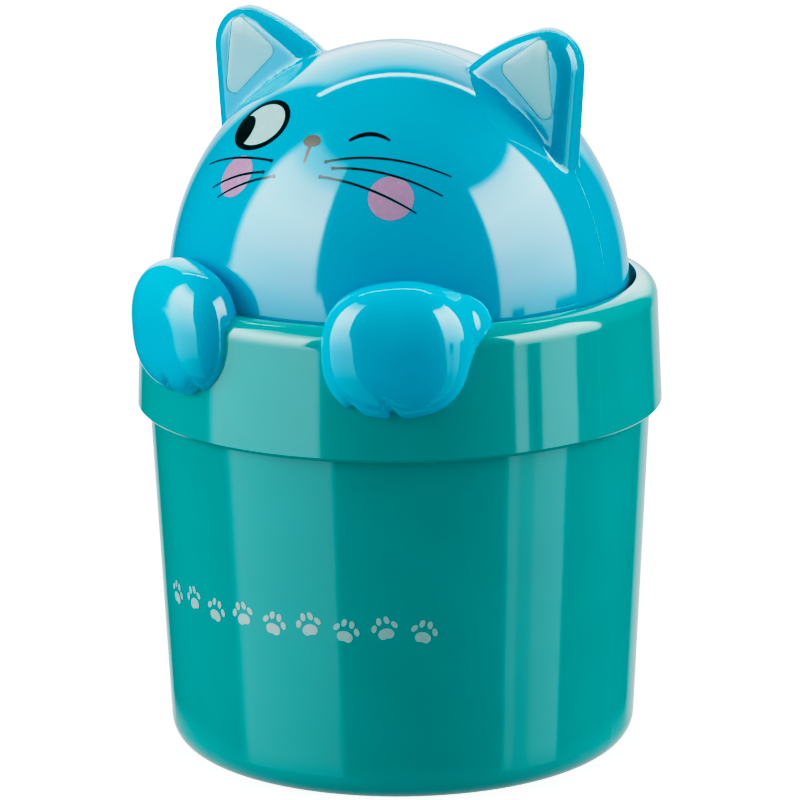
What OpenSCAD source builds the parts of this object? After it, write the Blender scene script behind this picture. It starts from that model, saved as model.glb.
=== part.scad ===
// Desk-top waste bin with a swinging cat's-head lid.
// Origin: centre of the flat underside. +Z is up, and the face looks along -Y.

/* [Bucket] */
// Radius of the bucket's wall, carried straight down to the floor
bucket_foot_r = 57.9; // [56:0.1:58.5]
// Radius of the upright neck that the collar slides over
bucket_neck_r = 62.1; // [61.6:0.1:62.1]
// Height of the rim
bucket_rim_z = 104; // [100:0.5:104]
// Wall thickness
bucket_wall = 1.8; // [1.4:0.1:2]
// Radius of the rounded bottom edge
bucket_edge_r = 6.6; // [5:0.1:8]

/* [Collar] */
// Radius of the skirt's lower edge
collar_r = 65; // [64.6:0.1:66]
// Radius of the skirt where its shoulder begins
collar_top_r = 63.9; // [63.6:0.1:64.2]
// Height of the skirt's lower edge
collar_foot_z = 86.4; // [84:0.1:90]
// Height of the flat lip around the head
collar_lip_z = 117.8; // [117.4:0.1:118.4]
// Radius of the opening in which the head swings
collar_mouth_r = 58.6; // [58.6:0.1:58.8]
// Radius of the rounded shoulder
collar_shoulder_r = 5; // [4:0.1:5]

/* [Head] */
// Radius of the head at its widest
head_r = 56.9; // [56:0.1:56.9]
// Height of the head above its widest level
head_rise = 60.3; // [58:0.1:60.3]
// Level at which the head is widest, and on which it swings
head_mid_z = 115.6; // [115.2:0.1:115.6]
// Level of the open lower edge
head_foot_z = 109; // [108:0.1:110]
// Wall thickness
head_wall = 1.4; // [1.2:0.1:1.8]

/* [Pivots] */
// Radius of the steel pins
pin_r = 1.25; // [1:0.05:1.4]
// Radial clearance between a pin and its bush
pin_play = 0.06; // [0.02:0.01:0.1]
// Outside radius of a bush
bush_r = 2.6; // [2.4:0.1:3]

/* [Paws] */
// Angle of each paw from the front
paw_angle = 27.4; // [24:0.1:32]
// Distance from the bin's axis to the middle of a paw
paw_reach = 61.5; // [60:0.1:63]
// Height of the middle of a paw
paw_z = 113.8; // [112:0.1:116]

/* [Ears] */
// Half the thickness of an ear at its root
ear_root_r = 6; // [5.5:0.1:6.5]
// Half the thickness of an ear at its tip
ear_tip_r = 5.2; // [4.6:0.1:5.6]
// Wall thickness of an ear
ear_wall = 2.6; // [2:0.1:3]

/* [Counterweights] */
// Width of a steel slug, along the front-to-back direction
slug_w = 26; // [20:0.5:26]
// Height of a slug
slug_h = 21.6; // [16:0.2:21.6]
// Thickness of a slug
slug_t = 7.1; // [5:0.1:7.1]

/* [Hidden] */
$fn = 96;
eps = 0.01;
big = 200;

teal = [0.0, 0.55, 0.56];
blue = [0.0, 0.63, 0.77];
mint = [0.74, 0.86, 0.87];
white = [0.93, 0.93, 0.9];
steel = [0.72, 0.73, 0.75];

// Bucket: wall slope, and the centre of the round that joins it to the floor
neck_z = collar_foot_z + 0.6;
lean = (bucket_neck_r - bucket_foot_r) / neck_z;
lean_a = atan(lean);
edge_c = bucket_foot_r + lean * bucket_edge_r - bucket_edge_r / cos(lean_a);
floor_t = 2.4;
groove_r = [14, 46];
groove_d = 0.6;

// Collar
seat_z = bucket_rim_z + 0.1;
slide_gap = 0.35;
flange_t = 1.4;
flange_foot_z = 101;
skirt_in_r = bucket_neck_r + slide_gap;
channel_r = 61.6;
shoulder_z = collar_lip_z - collar_shoulder_r;
collar_t = 2;
boss_r = 3;
pin_end_x = 61.5;

// Screws: thread, the looser hole that it passes, and head
pilot_r = 1.1;
pass_r = 1.4;
screw_head_r = 2.2;
screw_head_t = 1.4;
head_play = 0.4;
pilot_rest = 0.5;

// Head
pivot_z = head_mid_z;
seat_x = [52, 55.9];
seat_wall = 1.8;
lug_r = 3.2;
lug_y = 6.4;
lug_z = 120.5;

// Hangers and slugs
hanger_x = 40.8;
hanger_t = 2;
hanger_screw_l = 10;
pocket_t = 1.2;
pocket_foot_z = 75;
pocket_h = 23;
hanger_w = 19;
hanger_top_z = 124;

// Crown lugs, which join the two shells under the top of the head
crown_x = 14;
crown_z = 167;
crown_y = 8;

// Each ear as balls: [x, z, radius] from the tip, down the outer edge, to the inner root
ear_balls = [[42, 176.8, ear_tip_r], [44.9, 169, 5.4], [43.2, 151.5, ear_root_r],
             [25.4, 166, ear_root_r], [32.3, 172.3, 5.7]];
// The pale inlay as discs: [x, z, radius]
inlay_discs = [[41.4, 178.4, 1.6], [33.4, 172, 1.5], [42.1, 162.8, 1.8]];
inlay_floor_y = -4.2;
inlay_t = 0.8;

// Palm of a paw as an ellipsoid: half its width, depth and height
palm_size = [16.8, 10.5, 15.3];
// Balls of the wrist and the toes: [out to the side, outward from the palm's middle, height, radius]
wrist_balls = [[4, -1, 4, 9.8], [13.4, -5.4, 5, 8]];
toe_balls = [[-9.5, 1.2, -7.5, 6.2], [-3.8, 2.4, -9.6, 6.2], [5.2, 1.5, -8.2, 7.4]];
paw_wall = 1.6;
paw_gap = 0.4;
paw_screw_z = 109.5;
paw_screw_end = collar_r + 5;
paw_screw_seat = channel_r - 0.1;

// ---------- shared shapes ----------

// Half outline of the head as far as its wall's inner or outer face: a quarter ellipse and a skirt
module head_outline(inset) {
    a = head_r - inset;
    b = head_rise - inset;
    low = asin((head_foot_z - head_mid_z) / b);
    steps = 44;
    arc = [for (i = [0 : steps]) let (t = low + (90 - low) * i / steps)
           [a * cos(t), head_mid_z + b * sin(t)]];
    polygon(concat([[0, head_foot_z]], arc));
}

module head_solid(inset = 0) rotate_extrude() head_outline(inset);

module ear_solid(inset = 0) {
    hull() for (b = ear_balls)
        translate([b[0], 0, b[1]]) sphere(r = b[2] - inset, $fn = 32);
}

module along_x(x0, x1, r, y = 0, z = pivot_z) {
    translate([x0, y, z]) rotate([0, 90, 0]) rotate([0, 0, 45]) cylinder(r = r, h = x1 - x0);
}

module along_y(y0, y1, r, x, z) {
    translate([x, y0, z]) rotate([-90, 0, 0]) cylinder(r = r, h = y1 - y0);
}

module both_sides() {
    children();
    mirror([1, 0, 0]) children();
}

// Everything in front of the seam plane, or behind it
module half(front) {
    translate([-big / 2, front ? -big : 0, 0]) cube([big, big, big]);
}

// ---------- bucket ----------

module bucket_outline(inset, floor_z, top_z) {
    r_in = bucket_edge_r - inset;
    intersection() {
        union() {
            polygon([[0, 0], [edge_c, bucket_edge_r - r_in],
                     [edge_c + r_in * cos(lean_a), bucket_edge_r - r_in * sin(lean_a)],
                     [bucket_neck_r - inset, neck_z], [bucket_neck_r - inset, top_z], [0, top_z]]);
            translate([edge_c, bucket_edge_r]) circle(r = r_in);
        }
        translate([0, floor_z]) square([big, big]);
    }
}

module bucket() color(teal) {
    difference() {
        rotate_extrude() bucket_outline(0, 0, bucket_rim_z);
        rotate_extrude() bucket_outline(bucket_wall, floor_t, bucket_rim_z + 1);
        translate([0, 0, -eps]) difference() {
            cylinder(r = groove_r[1], h = groove_d + eps);
            translate([0, 0, -1]) cylinder(r = groove_r[0], h = groove_d + 2);
        }
    }
}

// ---------- collar ----------

// Outer face of the collar, filled in to the axis
module collar_outline() {
    shoulder_x = collar_top_r - collar_shoulder_r;
    edge = 0.8;
    union() {
        polygon([[0, collar_foot_z], [collar_r - edge, collar_foot_z],
                 [collar_r, collar_foot_z + edge], [collar_top_r, shoulder_z],
                 [shoulder_x, collar_lip_z], [0, collar_lip_z]]);
        intersection() {
            translate([shoulder_x, shoulder_z]) circle(r = collar_shoulder_r);
            translate([0, shoulder_z]) square([big, big]);
        }
    }
}

// The space inside: mouth, channel above the bucket's rim, and the sleeve round its neck
module collar_space() {
    in_r = collar_mouth_r + flange_t;
    roof_r = collar_shoulder_r - collar_t;
    union() {
        square([collar_mouth_r, big]);
        square([skirt_in_r, seat_z]);
        translate([in_r, 0]) square([channel_r - in_r, shoulder_z]);
        intersection() {
            translate([collar_top_r - collar_shoulder_r, shoulder_z]) circle(r = roof_r);
            translate([in_r, shoulder_z]) square([big, big]);
        }
    }
}

module collar() color(teal) {
    difference() {
        union() {
            rotate_extrude() difference() {
                collar_outline();
                collar_space();
            }
            // Inner flange, which plugs into the bucket's rim
            rotate_extrude() translate([collar_mouth_r, flange_foot_z])
                square([flange_t, shoulder_z - flange_foot_z + 1]);
            // Pin bosses
            intersection() {
                both_sides() along_x(collar_mouth_r - 1, big / 2, boss_r);
                rotate_extrude() difference() {
                    collar_outline();
                    square([collar_mouth_r, big]);
                }
            }
        }
        both_sides() along_x(collar_mouth_r - 1, pin_end_x, pin_r);
        for (s = [-1, 1]) rotate([0, 0, s * paw_angle]) {
            along_y(-big / 2, -collar_mouth_r - flange_t - eps, pass_r, 0, paw_screw_z);
            along_y(-collar_mouth_r - flange_t - eps, -collar_mouth_r + 1, screw_head_r + head_play,
                    0, paw_screw_z);
        }
    }
}

module pin() along_x(seat_x[0] + 0.6, pin_end_x, pin_r);
module pivot_pin_right() color(steel) pin();
module pivot_pin_left() color(steel) mirror([1, 0, 0]) pin();

// ---------- paws ----------

// A paw in its own axes: x out to the side, -y away from the bin
module palm(inset = 0) {
    translate([0, -paw_reach, paw_z])
        scale([palm_size[0] - inset, palm_size[1] - inset, palm_size[2] - inset]) sphere(r = 1);
}

module paw_balls(balls) {
    for (b = balls) translate([b[0], -paw_reach - b[1], paw_z + b[2]]) sphere(r = b[3], $fn = 32);
}

module paw_solid() {
    palm();
    hull() paw_balls(wrist_balls);
    paw_balls(toe_balls);
}

module paw() {
    rotate([0, 0, paw_angle]) difference() {
        paw_solid();
        difference() {
            palm(paw_wall);
            along_y(-big / 2, 0, lug_r, 0, paw_screw_z);
        }
        rotate([0, 0, -paw_angle]) {
            rotate_extrude() collar_outline();
            cylinder(r = collar_mouth_r + paw_gap, h = big);
        }
        along_y(-paw_screw_end - pilot_rest, 0, pilot_r, 0, paw_screw_z);
    }
}
module paw_right() color(blue) paw();
module paw_left() color(blue) mirror([1, 0, 0]) paw();

module paw_screws() color(steel) {
    for (s = [-1, 1]) rotate([0, 0, s * paw_angle]) {
        along_y(-paw_screw_end, -paw_screw_seat, pilot_r, 0, paw_screw_z);
        along_y(-paw_screw_seat, screw_head_t - paw_screw_seat, screw_head_r, 0, paw_screw_z);
    }
}

// ---------- head ----------

// Inner bosses of both shells
module head_bosses() {
    both_sides() {
        along_x(seat_x[0], big / 2, bush_r + seat_wall);
        for (s = [-1, 1]) along_x(hanger_x + hanger_t, big / 2, lug_r, s * lug_y, lug_z);
        along_y(-crown_y, crown_y, lug_r, crown_x, crown_z);
        translate([crown_x - lug_r, -crown_y, crown_z]) cube([2 * lug_r, 2 * crown_y, big]);
    }
}

// The hollow head with its bosses, before the bores
module head_walls() {
    difference() {
        union() {
            head_solid();
            both_sides() ear_solid();
        }
        head_solid(head_wall);
        translate([0, 0, -eps]) cylinder(r = head_r - 4, h = head_foot_z + 2 * eps);
        both_sides() ear_solid(ear_wall);
    }
    intersection() {
        head_bosses();
        head_solid(head_wall / 2);
    }
}

// Both shells in one, before the seam parts them
module head_body() {
    difference() {
        head_walls();
        both_sides() {
            along_x(seat_x[0] - 1, big / 2, bush_r);
            for (s = [-1, 1])
                along_x(hanger_x, hanger_x + hanger_screw_l, pilot_r, s * lug_y, lug_z);
            along_y(-crown_y + 1, 0, pilot_r, crown_x, crown_z);
            along_y(0, crown_y + 1, pass_r, crown_x, crown_z);
            inlay_prism(inlay_floor_y - ear_root_r, inlay_floor_y);
        }
    }
}

module head_shell(front) {
    intersection() {
        head_body();
        half(front);
    }
}
module head_front_shell() color(blue) head_shell(true);
module head_rear_shell() color(blue) head_shell(false);

module inlay_prism(y0, y1) {
    translate([0, y1, 0]) rotate([90, 0, 0]) linear_extrude(y1 - y0)
        hull() for (d = inlay_discs) translate([d[0], d[1]]) circle(r = d[2], $fn = 48);
}
module ear_inlay_right() color(mint) inlay_prism(inlay_floor_y - inlay_t, inlay_floor_y);
module ear_inlay_left() color(mint) mirror([1, 0, 0]) inlay_prism(inlay_floor_y - inlay_t, inlay_floor_y);

module bush() {
    difference() {
        along_x(seat_x[0], seat_x[1], bush_r);
        along_x(seat_x[0] - 1, seat_x[1] + 1, pin_r + pin_play);
    }
}
module pivot_bush_right() color(white) bush();
module pivot_bush_left() color(white) mirror([1, 0, 0]) bush();

// ---------- counterweights ----------

module slug_space(extra = 0) {
    translate([hanger_x - slug_t, -slug_w / 2, pocket_foot_z + pocket_t])
        cube([slug_t, slug_w, slug_h + extra]);
}

module hanger() {
    difference() {
        union() {
            translate([hanger_x, -hanger_w / 2, pocket_foot_z])
                cube([hanger_t, hanger_w, hanger_top_z - pocket_foot_z]);
            translate([hanger_x - slug_t - pocket_t, -slug_w / 2 - pocket_t, pocket_foot_z])
                cube([slug_t + pocket_t + hanger_t, slug_w + 2 * pocket_t, pocket_h]);
        }
        slug_space(5);
        for (s = [-1, 1]) along_x(hanger_x - 1, hanger_x + hanger_t + 1, pilot_r, s * lug_y, lug_z);
    }
}
module weight_hanger_right() color(white) hanger();
module weight_hanger_left() color(white) mirror([1, 0, 0]) hanger();
module weight_right() color(steel) slug_space();
module weight_left() color(steel) mirror([1, 0, 0]) slug_space();

module hanger_screws() color(steel) both_sides() {
    for (s = [-1, 1]) {
        along_x(hanger_x - eps, hanger_x + hanger_screw_l - pilot_rest, pilot_r, s * lug_y, lug_z);
        along_x(hanger_x - screw_head_t, hanger_x, screw_head_r, s * lug_y, lug_z);
    }
}

module shell_screws() color(steel) both_sides() {
    along_y(-crown_y + 2, crown_y + eps, pilot_r, crown_x, crown_z);
    along_y(crown_y, crown_y + screw_head_t, screw_head_r, crown_x, crown_z);
}

bucket();
collar();
pivot_pin_left();
pivot_pin_right();
paw_left();
paw_right();
paw_screws();
head_front_shell();
head_rear_shell();
ear_inlay_left();
ear_inlay_right();
pivot_bush_left();
pivot_bush_right();
weight_hanger_left();
weight_hanger_right();
weight_left();
weight_right();
hanger_screws();
shell_screws();
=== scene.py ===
import math

import bmesh
import bpy
import numpy as np
from mathutils import Matrix, Vector


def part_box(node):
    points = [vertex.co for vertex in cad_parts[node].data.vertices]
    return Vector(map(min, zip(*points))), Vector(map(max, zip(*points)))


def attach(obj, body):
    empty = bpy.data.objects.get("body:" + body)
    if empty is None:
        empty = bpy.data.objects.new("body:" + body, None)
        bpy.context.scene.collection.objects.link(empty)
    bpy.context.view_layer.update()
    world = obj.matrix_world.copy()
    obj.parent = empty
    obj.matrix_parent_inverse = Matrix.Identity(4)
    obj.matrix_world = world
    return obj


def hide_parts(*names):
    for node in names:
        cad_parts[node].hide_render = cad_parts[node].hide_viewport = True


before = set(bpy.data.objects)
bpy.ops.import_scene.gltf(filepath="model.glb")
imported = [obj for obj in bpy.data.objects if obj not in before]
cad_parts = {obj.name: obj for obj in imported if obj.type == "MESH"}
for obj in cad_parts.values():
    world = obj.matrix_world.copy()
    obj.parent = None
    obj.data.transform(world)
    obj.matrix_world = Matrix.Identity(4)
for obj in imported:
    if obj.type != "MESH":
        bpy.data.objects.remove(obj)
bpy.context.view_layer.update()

MM = 0.001

# ---------- sizes, in millimetres, in the frame of the CAD model ----------

# Head: an ellipsoid of revolution about the vertical axis, open below
HEAD_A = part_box("head_front_shell")[1].x / MM
HEAD_RISE = 60.3
HEAD_MID = 115.6
HEAD_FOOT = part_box("head_front_shell")[0].z / MM
HEAD_WALL = 1.4
HEAD_EDGE = 0.2
SEAM_GAP = 0.05
# Grid that the head is made on: step, half width and top
HEAD_GRID = 0.8
HEAD_GRID_SIDE = 64.4
HEAD_GRID_TOP = 186.0

# Ears: a rounded plate between a straight outer edge, through two points in x and z, and an upper arc,
# given by its centre and radius. The tip is a round between them
EAR_OUTER = ((48.9, 156.0), (50.0, 170.0))
EAR_UPPER = (51.4, 137.3, 46.1)
EAR_TIP_R = 12.0
EAR_HALF_ROOT = 5.9
EAR_HALF_TIP = 5.2
EAR_ROOT_Z = 150.0
EAR_TIP_Z = 182.4
EAR_EDGE_R = 4.6
EAR_FILLET = 1.3

# Pale inlay of an ear, as discs: x, z, radius, and how far its face lies under the ear's
INLAY_DISCS = [(41.6, 177.8, 2.2), (33.7, 172.2, 2.2), (43.0, 162.9, 2.2)]
INLAY_SINK = 0.06
INLAY_GAP = 0.03
# Rounded rim of the inlay: scale of its outline about the middle, and how far it lies under the face.
# The first ring is at the pocket's floor
INLAY_RINGS = [(1.0, None), (1.0, 0.09), (0.988, 0.02), (0.95, 0.0), (0.8, 0.0), (0.5, 0.0), (0.2, 0.0)]
# The pocket is cut in front of this depth, above this height and outside this width: x, y, z
POCKET_ZONE = (25.0, -3.2, 155.0)
POCKET_MARGIN = 0.4
INLAY_FLOOR_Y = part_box("ear_inlay_right")[1].y / MM

# Collar profile, as in the CAD model: the paws sit on it
COLLAR_R = 65.0
COLLAR_TOP_R = 63.9
COLLAR_FOOT_Z = 86.4
COLLAR_LIP_Z = 117.8
COLLAR_SHOULDER_R = 5.0
MOUTH_R = 58.6

# Paws
PAW_ANGLE = 27.4
PAW_REACH = 61.5
PAW_Z = 113.8

# Bucket wall: radius at the floor, radius under the collar and the height of that place
BUCKET_FOOT_R = 57.9
BUCKET_NECK_R = 62.1
BUCKET_NECK_Z = 87.0
BUCKET_SLOPE = (BUCKET_NECK_R - BUCKET_FOOT_R) / BUCKET_NECK_Z

PIVOT_Z = HEAD_MID
PRINT_LIFT = 0.04
# Level from which the directions of the face's parts are given
FACE_EYE_Z = 117.3


# ---------- mesh helpers ----------

def add_to_scene(name, mesh):
    mesh.polygons.foreach_set("use_smooth", [True] * len(mesh.polygons))
    obj = bpy.data.objects.new(name, mesh)
    bpy.context.scene.collection.objects.link(obj)
    return obj


def new_object(name, verts, faces):
    mesh = bpy.data.meshes.new(name)
    mesh.from_pydata([tuple(v) for v in verts], [], [tuple(f) for f in faces])
    mesh.update()
    return add_to_scene(name, mesh)


def from_bmesh(name, bm):
    mesh = bpy.data.meshes.new(name)
    bm.normal_update()
    bm.to_mesh(mesh)
    bm.free()
    return add_to_scene(name, mesh)


def mark_sharp(obj, degrees=35):
    obj.data.set_sharp_from_angle(angle=math.radians(degrees))


def gradient(field, p, h=0.02):
    g = np.empty_like(p)
    for axis in range(3):
        step = np.zeros(3)
        step[axis] = h
        g[:, axis] = (field(p + step) - field(p - step)) / (2 * h)
    return g


def settle(field, p, rounds=5, reach=1.0):
    """Move points onto the zero level of a distance field."""
    for _ in range(rounds):
        g = gradient(field, p)
        move = -field(p)[:, None] * g / np.maximum((g * g).sum(1), 1e-6)[:, None]
        length = np.linalg.norm(move, axis=1, keepdims=True)
        p = p + move * np.minimum(1.0, reach / np.maximum(length, 1e-9))
    return p


def grid_quads(inside, cell_index):
    """Quads of a surface net: one for each grid edge that crosses the surface."""
    quads = []
    for axis in range(3):
        b, c = (axis + 1) % 3, (axis + 2) % 3
        start = np.take(inside, range(inside.shape[axis] - 1), axis)
        end = np.take(inside, range(1, inside.shape[axis]), axis)
        i = np.array(np.nonzero(start != end))
        keep = (i[b] > 0) & (i[c] > 0)
        keep &= (i[b] < inside.shape[b] - 1) & (i[c] < inside.shape[c] - 1)
        i = i[:, keep]
        corners = []
        for db, dc in ((1, 1), (0, 1), (0, 0), (1, 0)):
            j = i.copy()
            j[b] -= db
            j[c] -= dc
            corners.append(cell_index[tuple(j)])
        quad = np.stack(corners, 1)
        flip = ~start[tuple(i)]
        quad[flip] = quad[flip][:, ::-1]
        quads.append(quad)
    return np.concatenate(quads)


# How far a point moves towards the middle of its neighbours in one round
EVEN_SHARE = 0.6


def even_out(field, p, quads, rounds=3):
    """Slide points along the surface towards the middle of their neighbours."""
    pairs = np.concatenate([quads[:, [k, (k + 1) % 4]] for k in range(4)])
    pairs = np.concatenate([pairs, pairs[:, ::-1]])
    count = np.bincount(pairs[:, 0], minlength=len(p))[:, None]
    for _ in range(rounds):
        total = np.stack([np.bincount(pairs[:, 0], p[pairs[:, 1], k], len(p)) for k in range(3)], 1)
        middle = total / np.maximum(count, 1)
        p = settle(field, (1 - EVEN_SHARE) * p + EVEN_SHARE * middle, 2)
    return p


def surface_of(field, lo, hi, step):
    """Even quad mesh of the zero level of a distance field inside a box."""
    axes = [np.arange(lo[k], hi[k] + step, step) for k in range(3)]
    grid = np.stack(np.meshgrid(*axes, indexing="ij"), -1)
    inside = (field(grid.reshape(-1, 3)) < 0).reshape(grid.shape[:3])
    corners = sum(inside[i:inside.shape[0] - 1 + i, j:inside.shape[1] - 1 + j,
                         k:inside.shape[2] - 1 + k].astype(int)
                  for i in (0, 1) for j in (0, 1) for k in (0, 1))
    mixed = (corners > 0) & (corners < 8)
    cell_index = np.full(mixed.shape, -1)
    cell_index[mixed] = np.arange(mixed.sum())
    cells = np.argwhere(mixed)
    p = np.array(lo) + (cells + 0.5) * step
    quads = grid_quads(inside, cell_index)
    p = settle(field, p)
    return even_out(field, p, quads), quads


# ---------- distance fields ----------

def length(*parts):
    return np.sqrt(sum(q * q for q in parts))


def ellipsoid(x, y, z, a, b, c):
    k0 = length(x / a, y / b, z / c)
    k1 = length(x / a ** 2, y / b ** 2, z / c ** 2)
    return k0 * (k0 - 1) / np.maximum(k1, 1e-9)


def rod(x, y, z, a, b, ra, rb):
    """Round rod from a to b whose radius runs from ra to rb."""
    d = [b[k] - a[k] for k in range(3)]
    t = ((x - a[0]) * d[0] + (y - a[1]) * d[1] + (z - a[2]) * d[2]) / sum(q * q for q in d)
    t = np.clip(t, 0, 1)
    return length(x - a[0] - t * d[0], y - a[1] - t * d[1], z - a[2] - t * d[2]) - (ra + t * (rb - ra))


def blend(a, b, k):
    """Union of two fields with a fillet of about k."""
    h = np.maximum(k - np.abs(a - b), 0) / k
    return np.minimum(a, b) - h * h * h * k / 6


def polygon_field(x, z, corners):
    """Signed distance to a convex polygon in the x-z plane."""
    best = np.full_like(x, 1e9)
    outside = np.full_like(x, -1e9)
    for (x0, z0), (x1, z1) in zip(corners, corners[1:] + corners[:1]):
        ex, ez = x1 - x0, z1 - z0
        t = np.clip(((x - x0) * ex + (z - z0) * ez) / (ex * ex + ez * ez), 0, 1)
        best = np.minimum(best, length(x - x0 - t * ex, z - z0 - t * ez))
        outside = np.maximum(outside, ((x0 - x) * ez - (z0 - z) * ex) / math.hypot(ex, ez))
    return np.where(outside < 0, -best, best)


def rounded_corner(a, b, r):
    """Overlap of two fields whose corner has radius r."""
    a, b = a + r, b + r
    return np.minimum(np.maximum(a, b), 0) + length(np.maximum(a, 0), np.maximum(b, 0)) - r


def ear_half(z):
    t = np.clip((z - EAR_ROOT_Z) / (EAR_TIP_Z - EAR_ROOT_Z), 0, 1)
    return EAR_HALF_ROOT + t * (EAR_HALF_TIP - EAR_HALF_ROOT)


def ear_field(x, y, z):
    (x0, z0), (x1, z1) = EAR_OUTER
    outer = ((x - x0) * (z1 - z0) - (z - z0) * (x1 - x0)) / math.hypot(x1 - x0, z1 - z0)
    upper = length(x - EAR_UPPER[0], z - EAR_UPPER[1]) - EAR_UPPER[2]
    plan = rounded_corner(outer, upper, EAR_TIP_R)
    side = np.abs(y) - ear_half(z)
    return rounded_corner(plan, side, EAR_EDGE_R)


def head_field(p):
    x, y, z = np.abs(p[:, 0]), p[:, 1], p[:, 2]
    dome = ellipsoid(x, y, z - HEAD_MID, HEAD_A, HEAD_A, HEAD_RISE)
    return blend(dome, ear_field(x, y, z), EAR_FILLET)


def collar_field(r, z):
    """Distance from the collar's outer face, filled in to the axis."""
    shoulder_r = COLLAR_TOP_R - COLLAR_SHOULDER_R
    shoulder_z = COLLAR_LIP_Z - COLLAR_SHOULDER_R
    wall = r - np.interp(z, [COLLAR_FOOT_Z, shoulder_z], [COLLAR_R, COLLAR_TOP_R])
    round_part = length(np.maximum(r - shoulder_r, 0), np.maximum(z - shoulder_z, 0)) - COLLAR_SHOULDER_R
    return np.where(z > shoulder_z, round_part, wall)


# Palm: middle, half sizes and squareness; arm: two ends and their radii
PALM = ((0.2, 0.0, -1.1), (17.4, 9.7, 15.9), 2.45)
ARM = ((4.0, -2.0, 3.0), (13.6, -8.0, 3.2), 10.8, 9.4)
PAW_BLEND = 6.5
# Grooves between the toes: place across at the bottom
TOE_GROOVES = [-8.3, 0.4]
GROOVE_WIDTH = 1.0
GROOVE_DEPTH = 2.0
GROOVE_LEAN = -0.5
GROOVE_TOP = -9.5
PAW_FOOT = -16.6
PAW_FIT = 0.4
# Box that holds the right paw, and the grid it is made on
PAW_LO = (8, -76, 95)
PAW_HI = (50, -34, 134)
PAW_GRID = 0.6


def paw_axes(p):
    """Axes of the right paw: across to its outer side, outwards and up."""
    a = math.radians(PAW_ANGLE)
    out = p[:, 0] * math.sin(a) - p[:, 1] * math.cos(a) - PAW_REACH
    across = p[:, 0] * math.cos(a) + p[:, 1] * math.sin(a)
    return across, out, p[:, 2] - PAW_Z


def palm_field(s, o, h):
    """Squarish egg, fuller than an ellipsoid."""
    (cs, co, ch), (a, b, c), power = PALM
    s, o, h = s - cs, o - co, h - ch
    k = (np.abs(s / a) ** power + np.abs(o / b) ** power + np.abs(h / c) ** power) ** (1 / power)
    return length(s, o, h) * (1 - 1 / np.maximum(k, 0.05))


def groove_depth(s, h):
    """How far the toe grooves sink into the paw."""
    t = np.clip((GROOVE_TOP - h) / (GROOVE_TOP - PAW_FOOT), 0, 1)
    fade = t * t * (3 - 2 * t)
    total = np.zeros_like(s)
    for place in TOE_GROOVES:
        off = s - place - GROOVE_LEAN * (h - PAW_FOOT)
        total = total + np.exp(-(off / GROOVE_WIDTH) ** 2)
    return GROOVE_DEPTH * fade * total


def paw_field(p):
    """Right paw, cut to fit over the collar and outside its mouth."""
    s, o, h = paw_axes(p)
    paw = blend(palm_field(s, o, h), rod(s, o, h, *ARM), PAW_BLEND) + groove_depth(s, h)
    r = length(p[:, 0], p[:, 1])
    paw = np.maximum(paw, -(collar_field(r, p[:, 2]) + PAW_FIT))
    return np.maximum(paw, MOUTH_R + PAW_FIT - r)


# ---------- head shells ----------

def hull_of_discs(discs, grow=0.0, steps=72):
    """Outline around a set of discs, anticlockwise."""
    points = sorted({(round(x + (r + grow) * math.cos(2 * math.pi * k / steps), 5),
                      round(z + (r + grow) * math.sin(2 * math.pi * k / steps), 5))
                     for x, z, r in discs for k in range(steps)})

    def chain(run):
        out = []
        for q in run:
            while len(out) > 1 and ((out[-1][0] - out[-2][0]) * (q[1] - out[-2][1])
                                    - (out[-1][1] - out[-2][1]) * (q[0] - out[-2][0])) <= 0:
                out.pop()
            out.append(q)
        return out[:-1]
    return chain(points) + chain(points[::-1])


def inlay_distance(x, z):
    """How far points in the ear's plane lie outside the inlay's pocket."""
    corners = [(cx, cz) for cx, cz, r in INLAY_DISCS]
    return polygon_field(x, z, corners[::-1]) - INLAY_DISCS[0][2]


def ear_front(points):
    """Depth of the ear's rounded front at points x, z."""
    q = np.array([(x, -EAR_HALF_ROOT, z) for x, z in points])
    for _ in range(12):
        slope = gradient(head_field, q)[:, 1]
        q[:, 1] -= head_field(q) / np.minimum(slope, -0.3)
    return q[:, 1]


def in_front_of_ear(co, side):
    x, y, z = POCKET_ZONE
    return co.y < y * MM and co.z > z * MM and co.x * side > x * MM


def cut_pocket(bm, side, outline):
    """Sink a pocket for the inlay into the ear's front."""
    doomed = []
    for face in bm.faces:
        if not in_front_of_ear(face.calc_center_median(), side):
            continue
        corners = np.array([(abs(v.co.x) / MM, v.co.z / MM) for v in face.verts])
        if inlay_distance(corners[:, 0], corners[:, 1]).min() < POCKET_MARGIN:
            doomed.append(face)
    bmesh.ops.delete(bm, geom=doomed, context="FACES")
    rim = [e for e in bm.edges if e.is_boundary and all(in_front_of_ear(v.co, side) for v in e.verts)]
    loop = [bm.verts.new((side * x * MM, y * MM, z * MM))
            for (x, z), y in zip(outline, ear_front(outline))]
    edges = [bm.edges.new((loop[k], loop[(k + 1) % len(loop)])) for k in range(len(loop))]
    bmesh.ops.triangle_fill(bm, use_beauty=True, use_dissolve=False, edges=rim + edges,
                            normal=(0, -1, 0))
    floor = [bm.verts.new((v.co.x, INLAY_FLOOR_Y * MM, v.co.z)) for v in loop]
    for k in range(len(loop)):
        n = (k + 1) % len(loop)
        bm.faces.new((loop[k], loop[n], floor[n], floor[k]))
    bm.faces.new(floor)


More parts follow.
